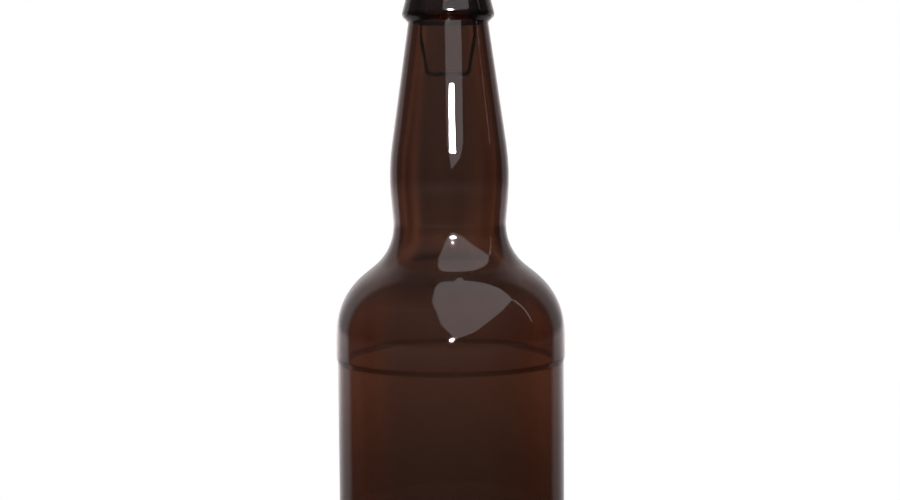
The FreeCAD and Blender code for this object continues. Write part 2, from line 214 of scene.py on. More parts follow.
def place_mottle(sheet: NodeSheet, blotch: float, grain: float, contrast: float) -> bpy.types.Node:
    """Place the shared unevenness in a material.

    Args:
        sheet: The material's tree.
        blotch: Scale of the soft blotches.
        grain: Scale of the fine grain.
        contrast: Strength of the blotches.

    Returns:
        The group's node.
    """
    place = sheet.add("ShaderNodeTexCoord")
    node = sheet.add("ShaderNodeGroup", node_tree=mottle_group())
    sheet.tree.links.new(place.outputs["Object"], node.inputs["Vector"])
    node.inputs["Blotch Scale"].default_value = blotch
    node.inputs["Grain Scale"].default_value = grain
    node.inputs["Contrast"].default_value = contrast
    return node


# --------------------------------------------------------------------------- finishes


@dataclass(frozen=True)
class AmberGlass:
    """Smooth moulded glass that swallows blue and green light."""

    refraction: float = 1.52
    absorbed_colour: tuple[float, float, float] = (0.46, 0.235, 0.07)
    density: float = 665.0
    ripple_scale: float = 55.0
    ripple_depth: float = 0.12 * MM
    grain_scale: float = 400.0
    contrast: float = 1.0

    def build(self) -> bpy.types.Material:
        """Make the material.

        Returns:
            The glass material.
        """
        material, sheet = new_material("amber_glass")
        mottle = place_mottle(sheet, self.ripple_scale, self.grain_scale, self.contrast)
        bump = sheet.add("ShaderNodeBump", {
            "Strength": 0.35, "Distance": self.ripple_depth, "Height": mottle.outputs["Blotches"]})
        surface = sheet.add("ShaderNodeBsdfPrincipled", {
            "Base Color": (*WHITE, 1.0), "Roughness": 0.0, "IOR": self.refraction,
            "Transmission Weight": 1.0, "Normal": bump.outputs["Normal"]})
        inside = sheet.add("ShaderNodeVolumeAbsorption", {
            "Color": (*self.absorbed_colour, 1.0), "Density": self.density})
        sheet.add("ShaderNodeOutputMaterial", {
            "Surface": surface.outputs["BSDF"], "Volume": inside.outputs["Volume"]})
        return material


@dataclass(frozen=True)
class DrawnWire:
    """Galvanised steel wire: dull zinc bloom over bright metal, with fine drawing marks."""

    bright: tuple[float, float, float] = (0.66, 0.66, 0.65)
    bloom: tuple[float, float, float] = (0.40, 0.405, 0.41)
    roughness: tuple[float, float] = (0.22, 0.48)
    blotch_scale: float = 420.0
    grain_scale: float = 2600.0
    contrast: float = 1.6
    grain_depth: float = 0.06 * MM

    def build(self) -> bpy.types.Material:
        """Make the material.

        Returns:
            The wire material.
        """
        material, sheet = new_material("galvanised_wire")
        mottle = place_mottle(sheet, self.blotch_scale, self.grain_scale, self.contrast)
        colour = sheet.ramp(mottle.outputs["Blotches"], [(0.30, self.bloom), (0.62, self.bright)])
        low, high = self.roughness
        rough = sheet.add("ShaderNodeMapRange", {
            "Value": mottle.outputs["Blotches"], "From Min": 0.3, "From Max": 0.7, "To Min": high, "To Max": low})
        bump = sheet.add("ShaderNodeBump", {
            "Strength": 0.30, "Distance": self.grain_depth, "Height": mottle.outputs["Grain"]})
        surface = sheet.add("ShaderNodeBsdfPrincipled", {
            "Base Color": colour, "Metallic": 1.0, "Roughness": rough.outputs["Result"],
            "Normal": bump.outputs["Normal"]})
        sheet.add("ShaderNodeOutputMaterial", {"Surface": surface.outputs["BSDF"]})
        return material


@dataclass(frozen=True)
class GlazedCeramic:
    """White porcelain under a clear glaze, a little greyer where the glaze pools."""

    body: tuple[float, float, float] = (0.83, 0.81, 0.75)
    pooled: tuple[float, float, float] = (0.74, 0.72, 0.66)
    blotch_scale: float = 170.0
    grain_scale: float = 700.0
    contrast: float = 1.2
    glaze_depth: float = 0.1 * MM

    def build(self) -> bpy.types.Material:
        """Make the material.

        Returns:
            The ceramic material.
        """
        material, sheet = new_material("glazed_ceramic")
        mottle = place_mottle(sheet, self.blotch_scale, self.grain_scale, self.contrast)
        colour = sheet.ramp(mottle.outputs["Blotches"], [(0.32, self.pooled), (0.60, self.body)])
        rough = sheet.add("ShaderNodeMapRange", {
            "Value": mottle.outputs["Grain"], "From Min": 0.3, "From Max": 0.7, "To Min": 0.10, "To Max": 0.24})
        bump = sheet.add("ShaderNodeBump", {
            "Strength": 0.25, "Distance": self.glaze_depth, "Height": mottle.outputs["Blotches"]})
        surface = sheet.add("ShaderNodeBsdfPrincipled", {
            "Base Color": colour, "Roughness": rough.outputs["Result"], "Coat Weight": 0.5,
            "Coat Roughness": 0.05, "Subsurface Weight": 0.08, "Subsurface Radius": (0.002, 0.0016, 0.0012),
            "Subsurface Scale": 1.0, "Normal": bump.outputs["Normal"]})
        sheet.add("ShaderNodeOutputMaterial", {"Surface": surface.outputs["BSDF"]})
        return material


@dataclass(frozen=True)
class WasherRubber:
    """Soft red rubber with a dusty bloom and fine moulding grain."""

    colour: tuple[float, float, float] = (0.50, 0.085, 0.045)
    bloom: tuple[float, float, float] = (0.62, 0.17, 0.11)
    blotch_scale: float = 260.0
    grain_scale: float = 2200.0
    contrast: float = 1.4
    grain_depth: float = 0.08 * MM

    def build(self) -> bpy.types.Material:
        """Make the material.

        Returns:
            The rubber material.
        """
        material, sheet = new_material("washer_rubber")
        mottle = place_mottle(sheet, self.blotch_scale, self.grain_scale, self.contrast)
        colour = sheet.ramp(mottle.outputs["Blotches"], [(0.38, self.colour), (0.72, self.bloom)])
        rough = sheet.add("ShaderNodeMapRange", {
            "Value": mottle.outputs["Grain"], "From Min": 0.3, "From Max": 0.7, "To Min": 0.45, "To Max": 0.68})
        bump = sheet.add("ShaderNodeBump", {
            "Strength": 0.5, "Distance": self.grain_depth, "Height": mottle.outputs["Grain"]})
        surface = sheet.add("ShaderNodeBsdfPrincipled", {
            "Base Color": colour, "Roughness": rough.outputs["Result"], "Sheen Weight": 0.15,
            "Normal": bump.outputs["Normal"]})
        sheet.add("ShaderNodeOutputMaterial", {"Surface": surface.outputs["BSDF"]})
        return material


# --------------------------------------------------------------------------- mesh tools


@dataclass(frozen=True)
class Corner:
    """One corner of a lathe outline: distance from the axis, height, and the radius that rounds it."""

    across: float
    up: float
    rounding: float = 0.0

    @property
    def point(self) -> Vector:
        """The corner in the XZ plane."""
        return Vector((self.across, 0.0, self.up))


def draw_outline(bm: bmesh.types.BMesh, corners: list[Corner], arc_step: float) -> None:
    """Draw an open outline with one moving vertex: straight runs by extrusion, rounded corners by spin.

    Args:
        bm: The mesh to draw in.
        corners: The outline's corners in order.
        arc_step: The turn of one step round an arc, in radians.
    """
    tip = bm.verts.new(corners[0].point)
    for before, corner, after in zip(corners, corners[1:], corners[2:]):
        into = (corner.point - before.point).normalized()
        out_of = (after.point - corner.point).normalized()
        turn = into.angle(out_of)
        if corner.rounding <= 0.0 or turn < SMALLEST_TURN:
            tip = extrude_to(bm, tip, corner.point)
            continue
        reach = corner.rounding * math.tan(turn / 2)
        first = corner.point - into * reach
        rightward = into.cross(out_of).y > 0
        side = Vector((into.z, 0.0, -into.x)) if rightward else Vector((-into.z, 0.0, into.x))
        tip = extrude_to(bm, tip, first)
        result = bmesh.ops.spin(
            bm, geom=[tip], cent=first + side * corner.rounding, axis=(0.0, 1.0, 0.0),
            angle=turn if rightward else -turn, steps=max(3, math.ceil(turn / arc_step)), use_merge=False)
        tip = next(item for item in result["geom_last"] if isinstance(item, bmesh.types.BMVert))
    extrude_to(bm, tip, corners[-1].point)


def extrude_to(bm: bmesh.types.BMesh, tip: bmesh.types.BMVert, point: Vector) -> bmesh.types.BMVert:
    """Extrude a vertex to a point.

    Args:
        bm: The mesh.
        tip: The vertex to extrude.
        point: Where the new vertex goes.

    Returns:
        The new vertex, or the old one when it is there already.
    """
    if (tip.co - point).length < SHORTEST_RUN:
        return tip
    result = bmesh.ops.extrude_vert_indiv(bm, verts=[tip])
    new = result["verts"][0]
    bmesh.ops.translate(bm, verts=[new], vec=point - new.co)
    return new


def lathe(bm: bmesh.types.BMesh, steps: int) -> None:
    """Spin everything in the mesh once round the Z axis, and close the poles.

    Args:
        bm: The mesh that holds the outline.
        steps: Steps round the axis.
    """
    bmesh.ops.spin(
        bm, geom=bm.verts[:] + bm.edges[:], cent=(0.0, 0.0, 0.0), axis=(0.0, 0.0, 1.0),
        angle=math.tau, steps=steps, use_merge=True)
    bmesh.ops.remove_doubles(bm, verts=bm.verts[:], dist=MERGE_DISTANCE)
    bmesh.ops.recalc_face_normals(bm, faces=bm.faces[:])


def finish_object(name: str, bm: bmesh.types.BMesh, material: bpy.types.Material) -> bpy.types.Object:
    """Turn a bmesh into a smooth shaded object.

    Args:
        name: The piece's name.
        bm: The mesh, which is freed.
        material: Its material.

    Returns:
        The new object.
    """
    mesh = bpy.data.meshes.new(name)
    bm.to_mesh(mesh)
    bm.free()
    mesh.shade_smooth()
    piece = bpy.data.objects.new(name, mesh)
    bpy.context.scene.collection.objects.link(piece)
    mesh.materials.append(material)
    return piece


def cut(piece: bpy.types.Object, tools: list[bpy.types.Object]) -> None:
    """Cut tools out of a piece for good, and remove the tools.

    Args:
        piece: The piece to cut.
        tools: Closed meshes to take away from it.
    """
    for tool in tools:
        modifier = piece.modifiers.new("cut", "BOOLEAN")
        modifier.operation = "DIFFERENCE"
        modifier.solver = "EXACT"
        modifier.object = tool
    bpy.context.view_layer.update()
    shaped = bpy.data.meshes.new_from_object(piece.evaluated_get(bpy.context.evaluated_depsgraph_get()))
    shaped.name = piece.data.name
    piece.modifiers.clear()
    piece.data = shaped
    for tool in tools:
        bpy.data.objects.remove(tool)


def keep_edges_crisp(piece: bpy.types.Object, angle: float) -> None:
    """Split the shading at edges that turn more than an angle.

    Args:
        piece: The piece.
        angle: The angle in degrees.
    """
    piece.data.shade_smooth()
    piece.data.set_sharp_from_angle(angle=math.radians(angle))


def bent_wire(name: str, points: list[Vector], radius: float, bend: float,
              material: bpy.types.Material) -> bpy.types.Object:
    """Bend a round wire through points.

    Args:
        name: The piece's name.
        points: The corners of the wire's centre line.
        radius: The wire's radius.
        bend: The largest radius of a bend.
        material: Its material.

    Returns:
        The wire as a mesh object.
    """
    chamfer_share, end_share, room_share = 0.35, 0.66, 0.48
    chamfer, arc_step = radius * chamfer_share, math.radians(9)
    line = [points[0], points[0].lerp(points[1], chamfer / (points[1] - points[0]).length)]
    for before, corner, after in zip(points, points[1:], points[2:]):
        into, out_of = (corner - before).normalized(), (after - corner).normalized()
        turn = into.angle(out_of)
        room = min((corner - before).length, (after - corner).length) * room_share
        size = min(bend, room / math.tan(turn / 2))
        reach = size * math.tan(turn / 2)
        axis = into.cross(out_of).normalized()
        first = corner - into * reach
        centre = first + axis.cross(into) * size
        steps = max(3, math.ceil(turn / arc_step))
        line.extend(centre + Matrix.Rotation(turn * step / steps, 3, axis) @ (first - centre)
                    for step in range(steps + 1))
    last = points[-1]
    line.extend([last.lerp(points[-2], chamfer / (last - points[-2]).length), last])
    curve = bpy.data.curves.new(name, "CURVE")
    curve.dimensions = "3D"
    curve.bevel_depth = radius
    curve.bevel_resolution = 6
    curve.use_fill_caps = True
    spline = curve.splines.new("POLY")
    spline.points.add(len(line) - 1)
    for target, point in zip(spline.points, line):
        target.co = (*point, 1.0)
    for end in (spline.points[0], spline.points[-1]):
        end.radius = end_share
    shape = bpy.data.objects.new(name + "_path", curve)
    bpy.context.scene.collection.objects.link(shape)
    bpy.context.view_layer.update()
    mesh = bpy.data.meshes.new_from_object(shape.evaluated_get(bpy.context.evaluated_depsgraph_get()))
    bpy.data.objects.remove(shape)
    mesh.name = name
    mesh.materials.clear()
    mesh.materials.append(material)
    piece = bpy.data.objects.new(name, mesh)
    bpy.context.scene.collection.objects.link(piece)
    keep_edges_crisp(piece, 50)
    return piece


def dress(piece: bpy.types.Object, body: Body, node: str) -> None:
    """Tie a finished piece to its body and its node.

    Args:
        piece: The piece.
        body: The body that it rides on.
        node: The node that it stands for.
    """
    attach(piece, body.value)
    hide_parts(node)
    LOG.info("%s: %d faces", piece.name, len(piece.data.polygons))


# --------------------------------------------------------------------------- the pieces


def joint_place(name: str) -> Vector:
    """Where a hinge's axis is.

    Args:
        name: The joint's name.

    Returns:
        The joint's position in the frame.
    """
    return JOINTS[name]


@dataclass
class Bottle:
    """The amber glass: one wall spun from an outer and an inner outline, with seams and dimples."""

    body_radius: float = 44.0 * MM
    panel_recess: float = 0.5 * MM
    step_rise: float = 1.8 * MM
    step_rounding: float = 3.0 * MM
    heel_radius: float = 8.0 * MM
    heel_band: float = 22.0 * MM
    panel_top: float = 160.0 * MM
    shoulder_rise: float = 22.8 * MM
    shoulder_bend: float = 30.0 * MM
    root_rise: float = 18.6 * MM
    root_radius: float = 20.65 * MM
    root_bend: float = 20.0 * MM
    swell_rise: float = 30.0 * MM
    swell_radius: float = 23.15 * MM
    swell_bend: float = 88.0 * MM
    neck_top_rise: float = 55.9 * MM
    neck_top_radius: float = 15.1 * MM
    neck_top_bend: float = 0.8 * MM
    bead_rise: float = 2.6 * MM
    bead_radius: float = 17.7 * MM
    bead_bend: float = 2.4 * MM
    collar_rise: float = 13.4 * MM
    collar_radius: float = 14.3 * MM
    collar_bend: float = 3.0 * MM
    groove_drop: float = 4.0 * MM
    groove_depth: float = 1.3 * MM
    groove_half: float = 0.9 * MM
    groove_bend: float = 0.6 * MM
    lip_radius: float = 13.8 * MM
    lip_bend: float = 2.2 * MM
    mouth_bend: float = 1.6 * MM
    stand_ring: float = 32.0 * MM
    stand_bend: float = 3.0 * MM
    punt: float = 4.0 * MM
    punt_slope: float = 0.93
    punt_bend: float = 60.0 * MM
    wall: float = 3.2 * MM
    base: float = 5.0 * MM
    bore: float = 8.4 * MM
    bore_bend: float = 18.0 * MM
    inner_root_radius: float = 17.3 * MM
    inner_root_drop: float = 1.45 * MM
    inner_shoulder_drop: float = 1.15 * MM
    inner_heel_bend: float = 9.0 * MM
    inner_punt_slope: float = 0.8
    inner_punt_bend: float = 40.0 * MM
    dimple_depth: float = 3.0 * MM
    dimple_radius: float = 1.18 * MM
    seam_height: float = 0.10 * MM
    seam_half_width: float = 0.35 * MM
    seam_start: float = 0.3
    seam_below_pivot: float = 8.0 * MM
    wander_depth: float = 0.30 * MM
    wander_round: float = 2.6
    wander_up: float = 9.0
    wander_past_bore: float = 1.2
    wander_past_base: float = 1.5
    arc_step: float = math.radians(4.0)
    steps: int = 256
    lip: float = field(init=False)
    pivot: Vector = field(init=False)

    def __post_init__(self) -> None:
        """Read the lip's height and the pivot from the frame."""
        self.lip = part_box("glass_bottle")[1].z
        self.pivot = joint_place("lever_pivot")

    def outline(self) -> list[Corner]:
        """The whole outline, up the outside, over the lip and down the inside.

        Returns:
            The corners in order.
        """
        panel = self.body_radius - self.panel_recess
        shoulder = self.panel_top + self.shoulder_rise
        root = shoulder + self.root_rise
        swell = root + self.swell_rise
        neck_top = swell + self.neck_top_rise
        bead = neck_top + self.bead_rise
        collar = bead + self.collar_rise
        groove = self.lip - self.groove_drop
        inner = panel - self.wall
        outer_run = [
            Corner(0.0, self.punt),
            Corner(self.stand_ring / 2, self.punt * self.punt_slope, self.punt_bend),
            Corner(self.stand_ring, 0.0, self.stand_bend),
            Corner(self.body_radius, 0.0, self.heel_radius),
            Corner(self.body_radius, self.heel_band, self.step_rounding),
            Corner(panel, self.heel_band + self.step_rise, self.step_rounding),
            Corner(panel, self.panel_top - self.step_rise, self.step_rounding),
            Corner(self.body_radius, self.panel_top, self.step_rounding),
            Corner(self.body_radius, shoulder, self.shoulder_bend),
            Corner(self.root_radius, root, self.root_bend),
            Corner(self.swell_radius, swell, self.swell_bend),
            Corner(self.neck_top_radius, neck_top, self.neck_top_bend),
            Corner(self.bead_radius, bead, self.bead_bend),
            Corner(self.collar_radius, collar, self.collar_bend),
            Corner(self.collar_radius, groove - self.groove_half, self.groove_bend),
            Corner(self.collar_radius - self.groove_depth, groove, self.groove_bend),
            Corner(self.lip_radius, groove + self.groove_half, self.groove_bend),
            Corner(self.lip_radius, self.lip, self.lip_bend),
        ]
        inner_run = [
            Corner(self.bore, self.lip, self.mouth_bend),
            Corner(self.bore, collar, self.bore_bend),
            Corner(self.neck_top_radius - self.wall, neck_top, self.bore_bend),
            Corner(self.swell_radius - self.wall, swell, self.swell_bend - self.wall),
            Corner(self.inner_root_radius, root - self.inner_root_drop, self.root_bend + self.wall),
            Corner(inner, shoulder - self.inner_shoulder_drop, self.shoulder_bend - self.wall),
            Corner(inner, self.base, self.inner_heel_bend),
            Corner(self.stand_ring / 2, self.base + self.punt * self.inner_punt_slope, self.inner_punt_bend),
            Corner(0.0, self.base + self.punt),
        ]
        return outer_run + inner_run

    def raise_seams(self, bm: bmesh.types.BMesh) -> None:
        """Raise the two fine lines that the halves of the mould leave up the outside.

        Args:
            bm: The spun glass.
        """
        for side in (-1.0, 1.0):
            bmesh.ops.bisect_plane(
                bm, geom=bm.verts[:] + bm.edges[:] + bm.faces[:], dist=MERGE_DISTANCE,
                plane_co=(0.0, side * self.seam_half_width, 0.0), plane_no=(0.0, 1.0, 0.0))
        low, high = self.heel_band * self.seam_start, self.pivot.z - self.seam_below_pivot
        for vert in bm.verts:
            if abs(vert.co.y) > MERGE_DISTANCE or not low < vert.co.z < high:
                continue
            outward = vert.normal.x * vert.co.x > 0.0
            if outward and abs(vert.co.x) > self.bore:
                vert.co.x += math.copysign(self.seam_height, vert.co.x)

    def uneven_inside(self, bm: bmesh.types.BMesh) -> None:
        """Vary the wall as blown glass does: the inner face wanders in slow vertical waves.

        Args:
            bm: The spun glass.
        """
        for vert in bm.verts:
            radius = math.hypot(vert.co.x, vert.co.y)
            outward = vert.normal.x * vert.co.x + vert.normal.y * vert.co.y
            in_bore = radius < self.bore * self.wander_past_bore
            if outward >= 0.0 or in_bore or vert.co.z < self.base * self.wander_past_base:
                continue
            way = Vector((vert.co.x, vert.co.y, 0.0)) / radius
            wander = noise.noise(Vector((
                way.x * self.wander_round, way.y * self.wander_round, vert.co.z * self.wander_up)))
            vert.co += way * self.wander_depth * wander

    def dimple_tool(self, side: float, material: bpy.types.Material) -> bpy.types.Object:
        """A plug with the shape of the pit that a lever end turns in.

        Args:
            side: 1 on the right, -1 on the left.
            material: Any material, which the plug needs to exist.

        Returns:
            The plug as an object.
        """
        bm = bmesh.new()
        mouth, flare, past_glass = self.dimple_depth, 1.0 * MM, 3.0 * MM
        floor_bend, mouth_bend = 0.4 * MM, 1.2 * MM
        draw_outline(bm, [
            Corner(0.0, 0.0),
            Corner(self.dimple_radius, 0.0, floor_bend),
            Corner(self.dimple_radius, mouth - flare / 2, mouth_bend),
            Corner(self.dimple_radius + flare, mouth + flare / 2),
            Corner(self.dimple_radius + flare, mouth + past_glass),
            Corner(0.0, mouth + past_glass),
        ], TOOL_ARC_STEP)
        lathe(bm, TOOL_STEPS)
        turn = Matrix.Rotation(math.radians(90.0) * side, 4, "Y")
        start = Matrix.Translation((side * (self.collar_radius - self.dimple_depth), 0.0, self.pivot.z))
        bmesh.ops.transform(bm, matrix=start @ turn, verts=bm.verts[:])
        return finish_object(f"dimple_{side:+.0f}", bm, material)

    def build(self) -> bpy.types.Object:
        """Make the glass.

        Returns:
            The glass piece.
        """
        material = AmberGlass().build()
        bm = bmesh.new()
        draw_outline(bm, self.outline(), self.arc_step)
        lathe(bm, self.steps)
        self.raise_seams(bm)
        bm.normal_update()
        self.uneven_inside(bm)
        bmesh.ops.recalc_face_normals(bm, faces=bm.faces[:])
        glass = finish_object("amber_bottle", bm, material)
        cut(glass, [self.dimple_tool(1.0, material), self.dimple_tool(-1.0, material)])
        keep_edges_crisp(glass, 60)
        dress(glass, Body.BOTTLE, "glass_bottle")
        return glass


@dataclass
class WireClosure:
    """The two bent wires: the lever with its coiled eyes, and the bail that carries the stopper."""

    wire: float = 1.1 * MM
    bend: float = 3.0 * MM
    eye: float = 2.28 * MM
    coil_pitch: float = 2.35 * MM
    wire_gap: float = 0.3 * MM
    pin_tip: float = 11.75 * MM
    past_bead: float = 20.35 * MM
    bead_crossing: float = math.radians(41.0)
    arm_tuck: float = math.radians(47.0)
    tuck_below_pivot: float = 25.3 * MM
    grip_below_pivot: float = 40.0 * MM
    grip_half: float = 9.5 * MM
    shoulder_drop: float = 8.4 * MM
    cap_radius: float = 13.2 * MM

    def lever_points(self) -> list[Vector]:
        """The corners of the lever's centre line, from the right pivot end to the left one.

        Returns:
            The points in order.
        """
        pivot, eye = joint_place("lever_pivot"), joint_place("bail_eyes")
        box_low, box_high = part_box("lever_wire")
        coil = box_high.x - self.wire
        arm = coil - self.coil_pitch
        low, high = eye.z - self.eye, eye.z + self.eye
        front, back = eye.y - self.eye, eye.y + self.eye
        crossing, tuck = self.bead_crossing, self.arm_tuck
        right = [
            Vector((self.pin_tip, 0.0, pivot.z)),
            Vector((arm, 0.0, pivot.z)),
            Vector((arm, front, high)),
            Vector((arm, front, low)),
            Vector((arm, back, low)),
            Vector(((arm + coil) / 2, back, high)),
            Vector((coil, front, high)),
            Vector((coil, front, low)),
            Vector((coil, back + self.wire * 2, low)),
            Vector((self.past_bead * math.cos(crossing), self.past_bead * math.sin(crossing), low - self.wire / 2)),
            Vector((self.past_bead * math.cos(tuck), self.past_bead * math.sin(tuck),
                    pivot.z - self.tuck_below_pivot)),
            Vector((self.grip_half, box_high.y - self.wire, pivot.z - self.grip_below_pivot)),
        ]
        return right + mirrored(right)

    def bail_points(self) -> list[Vector]:
        """The corners of the bail's centre line, from the right hook to the left one.

        Returns:
            The points in order.
        """
        eye, hole = joint_place("bail_eyes"), joint_place("stopper_swivel")
        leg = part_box("stopper_bail")[1].x - self.wire
        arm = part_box("lever_wire")[1].x - self.wire - self.coil_pitch
        down = (eye - hole).normalized()
        right = [
            Vector((arm - self.wire - self.wire_gap, eye.y, eye.z)),
            Vector((leg, eye.y, eye.z)),
            Vector((leg, 0.0, 0.0)) + hole + down * self.shoulder_drop,
            Vector((self.cap_radius + self.wire_gap + self.bend, 0.0, 0.0)) + hole,
        ]
        return right + mirrored(right)

    def build(self) -> list[bpy.types.Object]:
        """Make both wires.

        Returns:
            The lever and the bail.
        """
        material = DrawnWire().build()
        lever = bent_wire("lever", self.lever_points(), self.wire, self.bend, material)
        dress(lever, Body.LEVER, "lever_wire")
        bail = bent_wire("wire_bail", self.bail_points(), self.wire, self.bend, material)
        dress(bail, Body.BAIL, "stopper_bail")
        return [lever, bail]


def mirrored(points: list[Vector]) -> list[Vector]:
    """The same points on the other side, in reverse order.

    Args:
        points: Points on the right.

    Returns:
        The points on the left.
    """
    return [Vector((-point.x, point.y, point.z)) for point in reversed(points)]


@dataclass
class StopperHead:
    """The ceramic stopper with its cross hole, and the rubber washer on its stem."""

    tip_radius: float = 4.2 * MM
    retainer_radius: float = 5.8 * MM
    stem_radius: float = 4.8 * MM
    cap_radius: float = 13.2 * MM
    crown_radius: float = 9.5 * MM
    crown_bend: float = 4.2 * MM
    skirt: float = 3.6 * MM
    rounding: float = 1.4 * MM
    hole_radius: float = 1.18 * MM
    washer_inner: float = 4.88 * MM
    washer_outer: float = 12.5 * MM
    washer_chamfer: float = 1.1 * MM
    steps: int = 128

    def build_stopper(self) -> bpy.types.Object:
        """Make the ceramic stopper.

        Returns:
            The stopper piece.
        """
        low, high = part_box("stopper")
        seat, cap = (corner.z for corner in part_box("sealing_washer"))
        top, small = high.z, self.rounding / 4
        bm = bmesh.new()
        draw_outline(bm, [
            Corner(0.0, low.z),
            Corner(self.tip_radius, low.z, self.rounding),
            Corner(self.retainer_radius, seat - self.rounding, small),
            Corner(self.retainer_radius, seat - small, small),
            Corner(self.stem_radius, seat),
            Corner(self.stem_radius, cap, small),
            Corner(self.cap_radius, cap, self.rounding),
            Corner(self.cap_radius, cap + self.skirt, self.rounding),
            Corner(self.crown_radius, cap + self.skirt + self.rounding, self.rounding),
            Corner(self.crown_radius, top, self.crown_bend),
            Corner(0.0, top),
        ], math.radians(9))
        lathe(bm, self.steps)
        material = GlazedCeramic().build()
        stopper = finish_object("porcelain_stopper", bm, material)
        cut(stopper, [self.hole_tool(material)])
        keep_edges_crisp(stopper, 45)
        dress(stopper, Body.STOPPER, "stopper")
        return stopper

    def hole_tool(self, material: bpy.types.Material) -> bpy.types.Object:
        """The rod that bores the cross hole, flared where it comes out.

        Args:
            material: Any material, which the rod needs to exist.

        Returns:
            The rod as an object.
        """
        flare, mouth_bend = 0.5 * MM, 2.0 * MM
        reach, mouth = self.cap_radius, self.crown_radius
        bm = bmesh.new()
        draw_outline(bm, [
            Corner(0.0, -reach),
            Corner(self.hole_radius + reach - mouth + flare, -reach),
            Corner(self.hole_radius, -mouth + flare, mouth_bend),
            Corner(self.hole_radius, mouth - flare, mouth_bend),
            Corner(self.hole_radius + reach - mouth + flare, reach),
            Corner(0.0, reach),
        ], TOOL_ARC_STEP)
        lathe(bm, TOOL_STEPS)
        place = Matrix.Translation(joint_place("stopper_swivel")) @ Matrix.Rotation(math.radians(90.0), 4, "Y")
        bmesh.ops.transform(bm, matrix=place, verts=bm.verts[:])
        return finish_object("hole_rod", bm, material)

    def build_washer(self) -> bpy.types.Object:
        """Make the rubber washer.

        Returns:
            The washer piece.
        """
        seat, cap = (corner.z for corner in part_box("sealing_washer"))
        edge, chamfer_bend = 0.25 * MM, 0.5 * MM
        middle = (self.washer_inner + self.washer_outer) / 2
        bm = bmesh.new()
        draw_outline(bm, [
            Corner(middle, seat),
            Corner(self.washer_outer - self.washer_chamfer, seat, chamfer_bend),
            Corner(self.washer_outer, seat + self.washer_chamfer, chamfer_bend),
            Corner(self.washer_outer, cap, edge),
            Corner(self.washer_inner, cap, edge),
            Corner(self.washer_inner, seat, edge),
            Corner(middle, seat),
        ], math.radians(15))
        bmesh.ops.remove_doubles(bm, verts=bm.verts[:], dist=MERGE_DISTANCE)
        lathe(bm, self.steps)
        washer = finish_object("rubber_washer", bm, WasherRubber().build())
        keep_edges_crisp(washer, 60)
        dress(washer, Body.STOPPER, "sealing_washer")
        return washer


# --------------------------------------------------------------------------- the studio


@dataclass(frozen=True)
class Lamp:
    """A small rectangular lamp: its place and sides in metres, its tip and beam in degrees."""

    name: str
    place: tuple[float, float, float]
    sides: tuple[float, float]
    radiance: float
    tip: float
    beam: float


